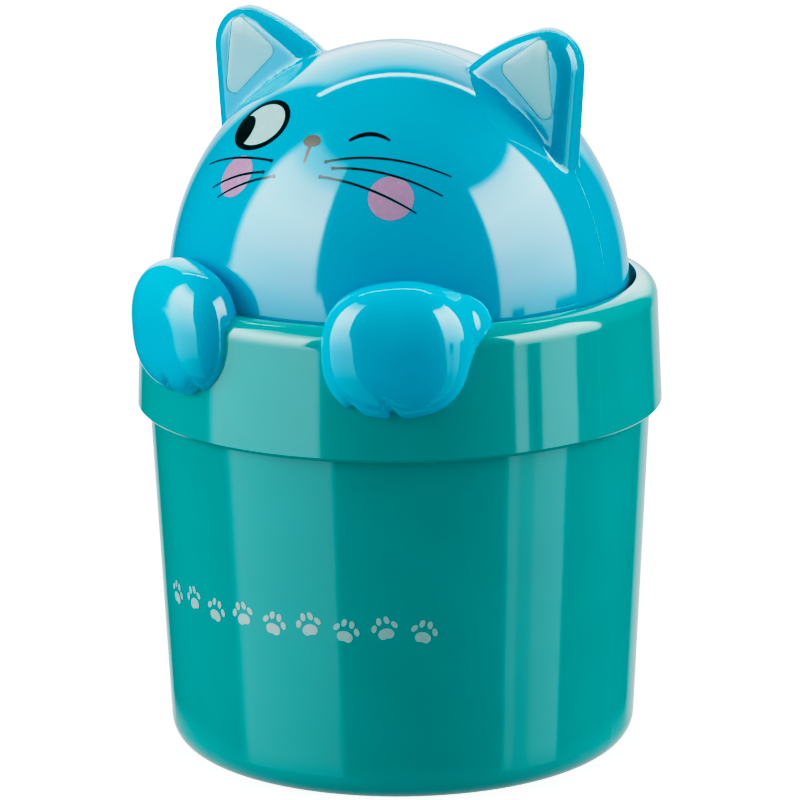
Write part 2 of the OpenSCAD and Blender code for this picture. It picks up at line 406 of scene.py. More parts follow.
def head_sheet(front):
    """Outer surface of one half of the head, cut at the seam and the foot."""
    over = 4 * HEAD_GRID
    lo = (-HEAD_GRID_SIDE, -HEAD_GRID_SIDE if front else -over, HEAD_FOOT - 4)
    hi = (HEAD_GRID_SIDE, over if front else HEAD_GRID_SIDE, HEAD_GRID_TOP)
    p, quads = surface_of(head_field, lo, hi, HEAD_GRID)
    seam = -SEAM_GAP if front else SEAM_GAP
    for axis, level in ((1, seam), (2, HEAD_FOOT)):
        near = np.abs(p[:, axis] - level) < 0.3 * HEAD_GRID
        p[near, axis] = level
    bm = bmesh.new()
    verts = [bm.verts.new(q * MM) for q in p]
    for quad in quads:
        bm.faces.new([verts[k] for k in quad])
    cuts = [((0, seam * MM, 0), (0, 1 if front else -1, 0)), ((0, 0, HEAD_FOOT * MM), (0, 0, -1))]
    for co, no in cuts:
        bmesh.ops.bisect_plane(bm, geom=bm.verts[:] + bm.edges[:] + bm.faces[:], dist=1e-6,
                               plane_co=co, plane_no=no, clear_outer=True)
    bmesh.ops.delete(bm, geom=[v for v in bm.verts if not v.link_faces], context="VERTS")
    return bm


def head_shell(front):
    bm = head_sheet(front)
    if front:
        outline = hull_of_discs(INLAY_DISCS)
        for side in (1, -1):
            cut_pocket(bm, side, outline)
    bmesh.ops.recalc_face_normals(bm, faces=bm.faces[:])
    top = max(bm.faces, key=lambda f: f.calc_center_median().z * (1 if abs(f.normal.z) > 0.5 else 0))
    if top.normal.z < 0:
        bmesh.ops.reverse_faces(bm, faces=bm.faces[:])
    name = "front_shell" if front else "rear_shell"
    obj = from_bmesh(name, bm)
    wall = obj.modifiers.new("wall", "SOLIDIFY")
    wall.thickness = HEAD_WALL * MM
    wall.offset = -1
    edge = obj.modifiers.new("edge", "BEVEL")
    edge.width = HEAD_EDGE * MM
    edge.segments = 2
    edge.limit_method = "ANGLE"
    edge.angle_limit = math.radians(50)
    mark_sharp(obj)
    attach(obj, "head")
    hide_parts("head_front_shell" if front else "head_rear_shell")
    return obj


def inlay(side, node):
    """Pale ear panel that follows the ear's front and has a rounded rim."""
    outline = hull_of_discs(INLAY_DISCS, -INLAY_GAP)
    cx = sum(x for x, z in outline) / len(outline)
    cz = sum(z for x, z in outline) / len(outline)
    verts, faces = [], []
    n = len(outline)
    for scale, sink in INLAY_RINGS:
        spots = [(cx + (x - cx) * scale, cz + (z - cz) * scale) for x, z in outline]
        for (px, pz), front in zip(spots, ear_front(spots)):
            y = INLAY_FLOOR_Y if sink is None else front + INLAY_SINK + sink
            verts.append((side * px * MM, y * MM, pz * MM))
    middle = ear_front([(cx, cz)])[0] + INLAY_SINK
    verts.append((side * cx * MM, middle * MM, cz * MM))
    last = (len(INLAY_RINGS) - 1) * n
    for start in range(0, last, n):
        for k in range(n):
            m = (k + 1) % n
            faces.append((start + k, start + m, start + n + m, start + n + k))
    faces += [(last + k, last + (k + 1) % n, len(verts) - 1) for k in range(n)]
    faces.append(tuple(range(n))[::-1])
    if side < 0:
        faces = [f[::-1] for f in faces]
    obj = new_object("inlay_" + ("right" if side > 0 else "left"), verts, faces)
    mark_sharp(obj, 50)
    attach(obj, "head")
    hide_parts(node)
    return obj


# ---------- paws ----------

def paw(side, node):
    p, quads = surface_of(paw_field, PAW_LO, PAW_HI, PAW_GRID)
    if side < 0:
        p = p * np.array([-1, 1, 1])
        quads = quads[:, ::-1]
    obj = new_object("cat_" + node, p * MM, quads.tolist())
    mark_sharp(obj, 40)
    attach(obj, "lid_ring")
    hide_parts(node)
    return obj


# ---------- printed face ----------

def head_frame(azimuth, elevation):
    """Point of the head and its right, up and outward directions."""
    a, e = math.radians(azimuth), math.radians(elevation)
    d = Vector((math.sin(a) * math.cos(e), -math.cos(a) * math.cos(e), math.sin(e)))
    eye = FACE_EYE_Z - HEAD_MID
    square = (d.x ** 2 + d.y ** 2) / HEAD_A ** 2 + d.z ** 2 / HEAD_RISE ** 2
    half = d.z * eye / HEAD_RISE ** 2
    reach = (-half + math.sqrt(half ** 2 - square * ((eye / HEAD_RISE) ** 2 - 1))) / square
    p = d * reach + Vector((0, 0, eye))
    n = Vector((p.x / HEAD_A ** 2, p.y / HEAD_A ** 2, p.z / HEAD_RISE ** 2)).normalized()
    right = Vector((-n.y, n.x, 0)).normalized()
    up = n.cross(right)
    return p, right, up, n


def on_head(place, u, v, lift):
    """Point u to the right and v up in the plane that touches the head, pressed onto it."""
    p, right, up, n = place
    q = p + right * u + up * v
    s = Vector((1 / HEAD_A, 1 / HEAD_A, 1 / HEAD_RISE))
    o = Vector((q.x * s.x, q.y * s.y, q.z * s.z))
    d = Vector((n.x * s.x, n.y * s.y, n.z * s.z))
    b = o.dot(d)
    t = (-b + math.sqrt(b * b - d.dot(d) * (o.dot(o) - 1))) / d.dot(d)
    hit = q + n * t
    out = Vector((hit.x * s.x ** 2, hit.y * s.y ** 2, hit.z * s.z ** 2)).normalized()
    return (hit + out * lift + Vector((0, 0, HEAD_MID))) * MM


def on_bucket(place, u, v, lift):
    """Point u to the right and v up on the bucket's wall, about an azimuth and a height."""
    azimuth, z0 = place
    z = z0 + v
    r = BUCKET_FOOT_R + BUCKET_SLOPE * z
    a = math.radians(azimuth) + u / r
    return Vector(((r + lift) * math.sin(a), -(r + lift) * math.cos(a), z)) * MM


class Print:
    """One colour of print, gathered from patches and strokes."""

    def __init__(self, surface):
        self.surface = surface
        self.verts = []
        self.faces = []

    def patch(self, place, outline, lift=PRINT_LIFT, rings=6):
        """Filled outline that can be seen whole from its middle."""
        cu = sum(q[0] for q in outline) / len(outline)
        cv = sum(q[1] for q in outline) / len(outline)
        base, n = len(self.verts), len(outline)
        for k in range(rings):
            t = 1 - k / rings
            for u, v in outline:
                self.verts.append(self.surface(place, cu + (u - cu) * t, cv + (v - cv) * t, lift))
        self.verts.append(self.surface(place, cu, cv, lift))
        for k in range(rings - 1):
            for i in range(n):
                j = (i + 1) % n
                self.faces.append((base + k * n + i, base + k * n + j,
                                   base + k * n + n + j, base + k * n + n + i))
        last = base + (rings - 1) * n
        self.faces += [(last + i, last + (i + 1) % n, len(self.verts) - 1) for i in range(n)]

    def stroke(self, place, points, widths, lift=PRINT_LIFT):
        """Ribbon along points, with a width at each."""
        left, right = [], []
        for k, (u, v) in enumerate(points):
            a, b = points[max(k - 1, 0)], points[min(k + 1, len(points) - 1)]
            du, dv = b[0] - a[0], b[1] - a[1]
            size = math.hypot(du, dv)
            nu, nv = -dv / size * widths[k] / 2, du / size * widths[k] / 2
            left.append((u + nu, v + nv))
            right.append((u - nu, v - nv))
        base = len(self.verts)
        for l, r in zip(left, right):
            self.verts += [self.surface(place, l[0], l[1], lift), self.surface(place, r[0], r[1], lift)]
        self.faces += [(base + 2 * k, base + 2 * k + 1, base + 2 * k + 3, base + 2 * k + 2)
                       for k in range(len(points) - 1)]

    def build(self, name, body, material):
        obj = new_object(name, self.verts, self.faces)
        obj.data.materials.append(material)
        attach(obj, body)
        return obj


def ellipse(cu, cv, a, b, tilt=0.0, steps=48):
    t0 = math.radians(tilt)
    points = []
    for k in range(steps):
        t = 2 * math.pi * k / steps
        x, y = a * math.cos(t), b * math.sin(t)
        points.append((cu + x * math.cos(t0) - y * math.sin(t0),
                       cv + x * math.sin(t0) + y * math.cos(t0)))
    return points


def held_inside(points, cu, cv, a, b):
    """Pull points that lie outside an ellipse back onto it."""
    out = []
    for u, v in points:
        k = math.hypot((u - cu) / a, (v - cv) / b)
        out.append((u, v) if k <= 1 else (cu + (u - cu) / k, cv + (v - cv) / k))
    return out


def bowed(end, bow, steps=28):
    """Points of a shallow arc from the origin to end, raised by bow at its middle."""
    size = math.hypot(*end)
    nu, nv = -end[1] / size, end[0] / size
    if nv < 0:
        nu, nv = -nu, -nv
    points = []
    for k in range(steps + 1):
        t = k / steps
        lift = 4 * bow * t * (1 - t)
        points.append((end[0] * t + nu * lift, end[1] * t + nv * lift))
    return points


# Open eye: place on the head, then ellipses as centre and half sizes
EYE_AT = (-27.1, 47.2)
EYE_RIM = (-1.3, 0.3, 9.3, 7.7)
EYE_WHITE = (-1.2, 0.3, 7.7, 6.25)
EYE_PUPIL = (-7.5, -3.5, 5.2, 5.5)
# Closed eye: place, ends of its arc, place of the arc's top, its height and how fast it falls
WINK_AT = (19.0, 47.2)
WINK_ENDS = (-5.0, 4.8)
WINK_TOP = (0.1, 0.8)
WINK_FALL = 0.072
WINK_W = 1.25
# Nose: place, half sizes; stem: top, length and width
NOSE_AT = (-1.6, 45.1)
NOSE_HALF = (2.35, 1.72)
STEM_TOP = -1.4
STEM_LONG = 4.6
STEM_W = 1.0
# Cheeks: place and radius
CHEEKS = [(26.5, 31.1), (-25.7, 33.0)]
CHEEK_R = 5.5
# Whiskers: place of the root, far end from it, bow
WHISKERS = [((5.7, 39.9), (28.8, 2.3), 1.6), ((8.5, 38.3), (26.1, -2.5), 1.3),
            ((5.1, 35.9), (23.9, -5.2), 0.95), ((-13.8, 38.6), (-24.7, -1.3), 0.5),
            ((-15.1, 35.4), (-16.8, -5.2), 0.6), ((-10.5, 34.8), (-17.1, -6.4), 0.5)]
WHISKER_W = 0.62
WHISKER_DOT = 0.5
# Prints that cross each other lie this far apart
LAYER = 0.005


def print_wink(black):
    steps = 30
    arc = [(u, WINK_TOP[1] - WINK_FALL * (u - WINK_TOP[0]) ** 2) for u in np.linspace(*WINK_ENDS, steps)]
    widths = []
    for k in range(steps):
        swell = math.sin(math.pi * (0.16 + 0.74 * k / (steps - 1)))
        widths.append(WINK_W * swell ** 0.7)
    black.stroke(head_frame(*WINK_AT), arc, widths, PRINT_LIFT)


def print_whiskers(black):
    for root, end, bow in WHISKERS:
        place = head_frame(*root)
        line = bowed(end, bow)
        last = len(line) - 1
        widths = [WHISKER_W * (1 - 0.45 * (k / last) ** 3) for k in range(len(line))]
        black.stroke(place, line, widths, PRINT_LIFT + 6 * LAYER)
        dot = ellipse(0, 0, WHISKER_DOT, WHISKER_DOT, steps=20)
        black.patch(place, dot, PRINT_LIFT + 7 * LAYER, 2)


def print_nose(nose):
    place = head_frame(*NOSE_AT)
    outline = []
    for k in range(40):
        t = 2 * math.pi * k / 40
        outline.append((NOSE_HALF[0] * math.cos(t) * (1 + 0.12 * math.sin(t)),
                        NOSE_HALF[1] * math.sin(t) - 0.25 * math.cos(t) ** 2 + 0.1))
    nose.patch(place, outline, PRINT_LIFT + 2 * LAYER, 3)
    last = 14
    stem = [(0.04 * math.sin(k), STEM_TOP - STEM_LONG * k / last) for k in range(last + 1)]
    nose.stroke(place, stem, [STEM_W - 0.45 * k / last for k in range(last + 1)], PRINT_LIFT)


def face_prints(ink, white_ink, pink_ink, nose_ink):
    black = Print(on_head)
    eye = head_frame(*EYE_AT)
    black.patch(eye, ellipse(*EYE_RIM, steps=72), PRINT_LIFT)
    pupil = held_inside(ellipse(*EYE_PUPIL, steps=72), *EYE_RIM)
    black.patch(eye, pupil, PRINT_LIFT + 10 * LAYER)
    print_wink(black)
    print_whiskers(black)
    black.build("print_black", "head", ink)

    white = Print(on_head)
    white.patch(eye, ellipse(*EYE_WHITE, steps=72), PRINT_LIFT + 5 * LAYER)
    white.build("print_eye_white", "head", white_ink)

    pink = Print(on_head)
    for place in CHEEKS:
        pink.patch(head_frame(*place), ellipse(0, 0, CHEEK_R, CHEEK_R), PRINT_LIFT)
    pink.build("print_cheeks", "head", pink_ink)

    nose = Print(on_head)
    print_nose(nose)
    nose.build("print_nose", "head", nose_ink)


# Row of small paw prints round the front of the bucket
PAD_ROW = {"from": -38.0, "to": 33.5, "count": 9, "z": 44.0, "step": 0.5, "tilt": 14.0}
# Heel pad: half width, height of its middle, half height and the dip in its lower edge
HEEL = (2.0, -1.35, 1.55, 0.28)
# Toe pads: place and direction of the long axis; half sizes
TOES = [(-2.5, 0.6, 62), (-0.95, 2.1, 82), (0.95, 2.1, 98), (2.5, 0.6, 118)]
TOE_HALF = (1.05, 0.7)


def turned(points, degrees):
    c, s = math.cos(math.radians(degrees)), math.sin(math.radians(degrees))
    return [(u * c - v * s, u * s + v * c) for u, v in points]


def heel_outline():
    half_width, middle, half_height, dip = HEEL
    points = []
    for i in range(36):
        t = 2 * math.pi * i / 36
        drawn_in = dip * math.exp(-((t - 1.5 * math.pi) / 0.45) ** 2)
        points.append((half_width * math.cos(t), middle + half_height * math.sin(t) * (1 - drawn_in)))
    return points


def bucket_prints(white_ink):
    row = Print(on_bucket)
    for k in range(PAD_ROW["count"]):
        way = 1 if k % 2 else -1
        azimuth = PAD_ROW["from"] + (PAD_ROW["to"] - PAD_ROW["from"]) * k / (PAD_ROW["count"] - 1)
        tilt = PAD_ROW["tilt"] * way
        place = (azimuth, PAD_ROW["z"] + PAD_ROW["step"] * way)
        row.patch(place, turned(heel_outline(), tilt), rings=3)
        for u, v, turn in TOES:
            row.patch(place, turned(ellipse(u, v, *TOE_HALF, turn, 24), tilt), rings=2)
    row.build("print_paws", "bucket", white_ink)


# ---------- bosses inside the head ----------

def tube(bm, axis, start, end, at, outer, inner, steps=40, chamfer=0.25):
    """Ring of a boss along x or y, chamfered at its starting end."""
    shoulder = start + chamfer * (1 if end > start else -1)
    profile = [(inner, start), (outer - chamfer, start), (outer, shoulder), (outer, end), (inner, end)]
    rings = []
    for r, along in profile:
        ring = []
        for k in range(steps):
            t = 2 * math.pi * k / steps
            a, b = r * math.cos(t), r * math.sin(t)
            co = (along, at[0] + a, at[1] + b) if axis == "x" else (at[0] + a, along, at[1] + b)
            ring.append(bm.verts.new(Vector(co) * MM))
        rings.append(ring)
    for p, q in zip(rings, rings[1:] + rings[:1]):
        for k in range(steps):
            m = (k + 1) % steps
            bm.faces.new((p[k], p[m], q[m], q[k]))


def head_reach(y, z):
    """Half width of the head's inner wall at a depth and height."""
    a, c = HEAD_A - HEAD_WALL / 2, HEAD_RISE - HEAD_WALL / 2
    return a * math.sqrt(max(0.0, 1 - ((z - HEAD_MID) / c) ** 2 - (y / a) ** 2))


# Lugs for the hangers: radius, bore, place in y and z; lugs under the crown: place in x and z, and the
# wider bore of the rear ones; wall of the bushes' seats
LUG_R = 3.2
LUG_BORE = 1.1
LUG_AT = (6.4, 120.5)
CROWN_LUG = (14.0, 167.0)
CROWN_BORE = 1.4
SEAT_WALL = 1.8


def head_bosses():
    """Seats for the bushes, lugs for the hangers and lugs under the crown."""
    bm = bmesh.new()
    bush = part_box("pivot_bush_right")
    bush_r = (bush[1].z - bush[0].z) / 2 / MM
    seat_r = bush_r + SEAT_WALL
    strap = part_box("weight_hanger_right")[1].x / MM
    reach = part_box("shell_screws")[0].y / MM - 2
    for side in (1, -1):
        wall = head_reach(seat_r, PIVOT_Z)
        tube(bm, "x", side * bush[0].x / MM, side * wall, (0, PIVOT_Z), seat_r, bush_r)
        for y in (-LUG_AT[0], LUG_AT[0]):
            end = head_reach(LUG_AT[0] + LUG_R, LUG_AT[1])
            tube(bm, "x", side * strap, side * end, (y, LUG_AT[1]), LUG_R, LUG_BORE)
        for start, end, bore in ((reach, -SEAM_GAP, LUG_BORE), (-reach, SEAM_GAP, CROWN_BORE)):
            tube(bm, "y", start, end, (side * CROWN_LUG[0], CROWN_LUG[1]), LUG_R, bore)
    bmesh.ops.recalc_face_normals(bm, faces=bm.faces[:])
    obj = from_bmesh("head_bosses", bm)
    mark_sharp(obj)
    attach(obj, "head")
    return obj


# ---------- materials ----------

def srgb(r, g, b):
    def lin(c):
        c /= 255
        return c / 12.92 if c <= 0.04045 else ((c + 0.055) / 1.055) ** 2.4
    return (lin(r), lin(g), lin(b), 1.0)


class Shader:
    """Small wrapper that keeps node building short."""

    def __init__(self, name):
        self.material = bpy.data.materials.new(name)
        self.material.use_nodes = True
        self.tree = self.material.node_tree
        self.tree.nodes.clear()
        self.out = self.add("ShaderNodeOutputMaterial")

    def add(self, kind, **values):
        node = self.tree.nodes.new(kind)
        for key, value in values.items():
            if key in node.inputs:
                node.inputs[key].default_value = value
            else:
                setattr(node, key, value)
        return node

    def link(self, a, b):
        self.tree.links.new(a, b)

    def coords(self, scale=(1, 1, 1)):
        place = self.add("ShaderNodeTexCoord")
        mapping = self.add("ShaderNodeMapping")
        mapping.inputs["Scale"].default_value = scale
        self.link(place.outputs["Object"], mapping.inputs["Vector"])
        return mapping.outputs["Vector"]

    def noise(self, scale, detail=2.0, rough=0.5, stretch=(1, 1, 1)):
        node = self.add("ShaderNodeTexNoise")
        node.inputs["Scale"].default_value = scale
        node.inputs["Detail"].default_value = detail
        node.inputs["Roughness"].default_value = rough
        self.link(self.coords(stretch), node.inputs["Vector"])
        return node.outputs["Fac"]

    def ramp(self, fac, stops):
        node = self.add("ShaderNodeValToRGB")
        while len(node.color_ramp.elements) < len(stops):
            node.color_ramp.elements.new(0.5)
        for element, (at, colour) in zip(node.color_ramp.elements, stops):
            element.position = at
            element.color = colour
        self.link(fac, node.inputs["Fac"])
        return node.outputs["Color"]

    def span(self, fac, low, high, a=0.3, b=0.7):
        node = self.add("ShaderNodeMapRange")
        node.inputs["From Min"].default_value = a
        node.inputs["From Max"].default_value = b
        node.inputs["To Min"].default_value = low
        node.inputs["To Max"].default_value = high
        self.link(fac, node.inputs["Value"])
        return node.outputs["Result"]

    def bump(self, height, distance, base=None):
        node = self.add("ShaderNodeBump")
        node.inputs["Strength"].default_value = 1.0
        node.inputs["Distance"].default_value = distance
        self.link(height, node.inputs["Height"])
        if base is not None:
            self.link(base, node.inputs["Normal"])
        return node.outputs["Normal"]


def shaded(colour, k):
    return tuple(min(1.0, c * k) for c in colour[:3]) + (1.0,)


def moulded_plastic(name, colour, rough=0.07, ior=1.5, flow=40, grain=0.0):
    """Glossy moulded plastic: faint flow of the colour, orange peel, haze and hair scratches."""
    s = Shader(name)
    body = s.add("ShaderNodeBsdfPrincipled")
    body.inputs["IOR"].default_value = ior
    tone = s.noise(flow, 3.0, 0.55)
    tones = s.ramp(tone, [(0.3, shaded(colour, 0.955)), (0.7, shaded(colour, 1.035))])
    s.link(tones, body.inputs["Base Color"])
    haze = s.noise(95, 5.0, 0.6)
    s.link(s.span(haze, rough * 0.75, rough * 1.45), body.inputs["Roughness"])
    peel = s.bump(s.noise(260, 1.0, 0.4), 0.000006)
    hairs = s.noise(900, 2.0, 0.5, stretch=(1.0, 0.08, 0.5))
    peel = s.bump(s.span(hairs, 0.0, 1.0, 0.66, 0.78), 0.0000016, base=peel)
    if grain:
        peel = s.bump(s.noise(2600, 2.0, 0.6), grain, base=peel)
    s.link(peel, body.inputs["Normal"])
    s.link(body.outputs["BSDF"], s.out.inputs["Surface"])
    return s.material


def pad_ink(name, colour, rough=0.22, patchy=0.05):
    """Pad-printed ink: slight unevenness of the film and its gloss."""
    s = Shader(name)
    body = s.add("ShaderNodeBsdfPrincipled")
    body.inputs["IOR"].default_value = 1.48
    film = s.noise(700, 3.0, 0.6)
    s.link(s.ramp(film, [(0.3, shaded(colour, 1 - patchy)), (0.7, shaded(colour, 1 + patchy))]),
           body.inputs["Base Color"])
    s.link(s.span(film, rough * 0.8, rough * 1.3), body.inputs["Roughness"])
    s.link(s.bump(s.noise(1800, 2.0, 0.5), 0.000003), body.inputs["Normal"])
    s.link(body.outputs["BSDF"], s.out.inputs["Surface"])
    return s.material


def turned_steel(name, colour):
    """Drawn or turned steel: fine lines along its length and light tarnish."""
    s = Shader(name)
    body = s.add("ShaderNodeBsdfPrincipled")
    body.inputs["Metallic"].default_value = 1.0
    tarnish = s.noise(160, 4.0, 0.6)
    s.link(s.ramp(tarnish, [(0.3, shaded(colour, 0.82)), (0.7, colour)]), body.inputs["Base Color"])
    lines = s.noise(900, 3.0, 0.6, stretch=(0.06, 1.0, 1.0))
    s.link(s.span(lines, 0.22, 0.4), body.inputs["Roughness"])
    s.link(s.bump(lines, 0.000008), body.inputs["Normal"])
    s.link(body.outputs["BSDF"], s.out.inputs["Surface"])
    return s.material


def set_material(obj, material):
    obj.data.materials.clear()
    obj.data.materials.append(material)


# ---------- studio ----------

CAMERA_AZIMUTH = 28.5
CAMERA_AWAY = 1.094
CAMERA_UP = 0.355
CAMERA_PITCH = 13.82
CAMERA_ROLL = -0.54
CAMERA_LENS = 204.0


def around(azimuth, elevation):
    a, e = math.radians(azimuth), math.radians(elevation)
    return Vector((math.sin(a) * math.cos(e), -math.cos(a) * math.cos(e), math.sin(e)))


def add_camera():
    data = bpy.data.cameras.new("camera")
    data.lens = CAMERA_LENS
    data.sensor_width = 36
    data.clip_start = 0.01
    camera = bpy.data.objects.new("camera", data)
    bpy.context.scene.collection.objects.link(camera)
    place = around(CAMERA_AZIMUTH, 0) * CAMERA_AWAY + Vector((0, 0, CAMERA_UP))
    look = -around(CAMERA_AZIMUTH, 0) * math.cos(math.radians(CAMERA_PITCH))
    look.z = -math.sin(math.radians(CAMERA_PITCH))
    turn = look.to_track_quat("-Z", "Y").to_matrix().to_4x4()
    roll = Matrix.Rotation(math.radians(CAMERA_ROLL), 4, "Z")
    camera.matrix_world = Matrix.Translation(place) @ turn @ roll
    bpy.context.scene.camera = camera


# Lights that face the object: name, azimuth, elevation, distance, size, radiance, and whether it is for
# glossy surfaces
PANELS = [("back_strip", 208.5, 59.5, 1.0, (0.9, 0.05), 9.0, True),
          ("left_side", -56, 16, 1.2, (0.8, 0.8), 4.5, False),
          ("right_side", 124, 16, 1.2, (0.8, 0.8), 4.7, False),
          ("top", 0, 88, 1.3, (1.0, 1.0), 1.9, False)]
PANEL_AIM = Vector((0, 0, 0.11))


def add_panel(name, azimuth, elevation, away, size, radiance, glossy):
    """Rectangular light that faces the object and lights either glossy or rough surfaces."""
    data = bpy.data.lights.new(name, "AREA")
    data.shape = "RECTANGLE"
    data.size, data.size_y = size
    data.energy = radiance * 4 * size[0] * size[1]
    panel = bpy.data.objects.new(name, data)
    bpy.context.scene.collection.objects.link(panel)
    d = around(azimuth, elevation)
    place = PANEL_AIM + d * away
    panel.matrix_world = Matrix.Translation(place) @ d.to_track_quat("Z", "Y").to_matrix().to_4x4()
    panel.visible_camera = False
    panel.visible_glossy = glossy
    panel.visible_diffuse = not glossy


# Softboxes as the glossy surfaces see them. Radiance of their light by the height of the direction
BOX_RADIANCE = 13.0
BOX_PROFILE = [(-0.50, 0.08), (-0.36, 0.165), (-0.20, 0.24), (-0.12, 0.33), (-0.05, 0.41), (0.07, 0.57),
               (0.19, 0.64), (0.29, 0.76), (0.41, 0.88), (0.50, 1.0), (0.62, 0.94), (0.69, 0.75),
               (0.73, 0.0)]
PROFILE_SPAN = (-0.6, 0.9)
LEFT_PROFILE = BOX_PROFILE[:-2] + [(0.69, 0.84), (0.77, 0.5), (0.84, 0.36), (0.88, 0.0)]
# Left box: its part below the horizon and its part above it
LEFT_BOX = (((-66, 0), (-79, 30)), ((-9, 0), (-19, 30)))
LEFT_BOX_ABOVE = (((-64.5, 0), (-67, 30)), ((-13, 0), (-14.5, 30)))
RIGHT_BOX = (((79, 0), (79, 30)), ((127, 0), (131, 30)))
# Dark bands across the lower part of the right box: azimuth, half width, and light that they leave.
# Above the first pair of heights they end; below the second pair that light comes back
RIGHT_GAPS = [(89, 3.2, 0.25), (119, 7.0, 0.0)]
GAPS_END = (-0.14, -0.07)
GAPS_FADE = (-0.28, -0.22)
# Heights between which the lower part of the left box gives way to its upper part
LEFT_CHANGE = (0.0, 0.1)
ROOM_RADIANCE = 0.02
# Pale backdrop behind the object: direction, how near to it a direction has to be, extra width with
# height, and the heights between which its light rises from a low level and falls to nothing
BACKDROP_RADIANCE = 3.0
BACKDROP_AZIMUTH = 203.5
BACKDROP_EDGE = (0.86, 0.93)
BACKDROP_WIDER = 0.1
BACKDROP_RISE = (0.0, 0.34)
BACKDROP_LOW = 0.27
BACKDROP_FALL = (0.70, 0.82)
FILL_RADIANCE = 0.50


class Sky:
    """Node building for the world, in terms of the direction looked in."""

    def __init__(self):
        world = bpy.data.worlds.new("studio")
        bpy.context.scene.world = world
        world.use_nodes = True
        self.tree = world.node_tree
        self.tree.nodes.clear()
        self.way = self.tree.nodes.new("ShaderNodeTexCoord").outputs["Generated"]
        split = self.tree.nodes.new("ShaderNodeSeparateXYZ")
        self.tree.links.new(self.way, split.inputs["Vector"])
        self.height = split.outputs["Z"]

    def along(self, direction):
        node = self.tree.nodes.new("ShaderNodeVectorMath")
        node.operation = "DOT_PRODUCT"
        node.inputs[1].default_value = direction
        self.tree.links.new(self.way, node.inputs[0])
        return node.outputs["Value"]

    def smooth(self, value, low, high, to_low=0.0, to_high=1.0):
        node = self.tree.nodes.new("ShaderNodeMapRange")
        node.interpolation_type = "SMOOTHSTEP"
        for socket, number in zip(node.inputs[1:5], (low, high, to_low, to_high)):
            socket.default_value = number
        self.tree.links.new(value, node.inputs["Value"])
        return node.outputs["Result"]

    def math(self, operation, a, b=None):
        node = self.tree.nodes.new("ShaderNodeMath")
        node.operation = operation
        for socket, value in zip(node.inputs, (a, b)):
            if isinstance(value, (int, float)):
                socket.default_value = value
            elif value is not None:
                self.tree.links.new(value, socket)
        return node.outputs[0]

    def product(self, *values):
        total = values[0]
        for value in values[1:]:
            total = self.math("MULTIPLY", total, value)
        return total

    def profile(self, stops, span):
        """Piecewise curve of the height of the direction."""
        low, high = span
        node = self.tree.nodes.new("ShaderNodeValToRGB")
        while len(node.color_ramp.elements) < len(stops):
            node.color_ramp.elements.new(0.5)
        for element, (at, value) in zip(node.color_ramp.elements, stops):
            element.position = (at - low) / (high - low)
            element.color = (value, value, value, 1)
        place = self.tree.nodes.new("ShaderNodeMapRange")
        place.inputs["From Min"].default_value = low
        place.inputs["From Max"].default_value = high
        self.tree.links.new(self.height, place.inputs["Value"])
        self.tree.links.new(place.outputs["Result"], node.inputs["Fac"])
        return node.outputs["Color"]

    def between(self, edges, first_soft=0.02):
        """1 between two great arcs, each through two directions given as azimuth and elevation."""
        (a, b), (c, d) = edges
        first = around(*a).cross(around(*b)).normalized()
        last = around(*c).cross(around(*d)).normalized()
        if first.dot(around(*c)) < 0:
            first = -first
        if last.dot(around(*a)) < 0:
            last = -last
        after_first = self.smooth(self.along(first), -first_soft, first_soft)
        before_last = self.smooth(self.along(last), -0.02, 0.02)
        return self.product(after_first, before_last)

    def band(self, azimuth, half, soft=0.02):
        """0 inside an upright band, 1 outside it."""
        off = self.math("ABSOLUTE", self.along(around(azimuth + 90, 0)))
        edge = math.sin(math.radians(half))
        return self.smooth(off, edge - soft, edge + soft)

    def background(self, strength):
        node = self.tree.nodes.new("ShaderNodeBackground")
        node.inputs["Color"].default_value = (1, 1, 1, 1)
        if isinstance(strength, (int, float)):
            node.inputs["Strength"].default_value = strength
        else:
            self.tree.links.new(strength, node.inputs["Strength"])
        return node.outputs[0]

    def choose(self, ray, other, chosen):
        path = self.tree.nodes.new("ShaderNodeLightPath")
        node = self.tree.nodes.new("ShaderNodeMixShader")
        self.tree.links.new(path.outputs[ray], node.inputs["Fac"])
        self.tree.links.new(other, node.inputs[1])
        self.tree.links.new(chosen, node.inputs[2])
        return node.outputs[0]


def softboxes(sky):
    above = sky.smooth(sky.height, *GAPS_END)
    right = sky.between(RIGHT_BOX)
    for azimuth, half, left_over in RIGHT_GAPS:
        below = sky.smooth(sky.height, *GAPS_FADE, 3 * left_over, 0.0)
        open_part = sky.math("MAXIMUM", sky.math("MAXIMUM", sky.band(azimuth, half), above), below)
        right = sky.product(right, open_part)
    right = sky.product(right, sky.profile(BOX_PROFILE, PROFILE_SPAN))
    lower = sky.product(sky.between(LEFT_BOX, 0.06), sky.smooth(sky.height, *LEFT_CHANGE, 1.0, 0.0))
    upper = sky.product(sky.between(LEFT_BOX_ABOVE, 0.06), sky.smooth(sky.height, *LEFT_CHANGE))
    left = sky.product(sky.math("ADD", lower, upper), sky.profile(LEFT_PROFILE, PROFILE_SPAN))
    return sky.product(sky.math("ADD", left, right), BOX_RADIANCE)


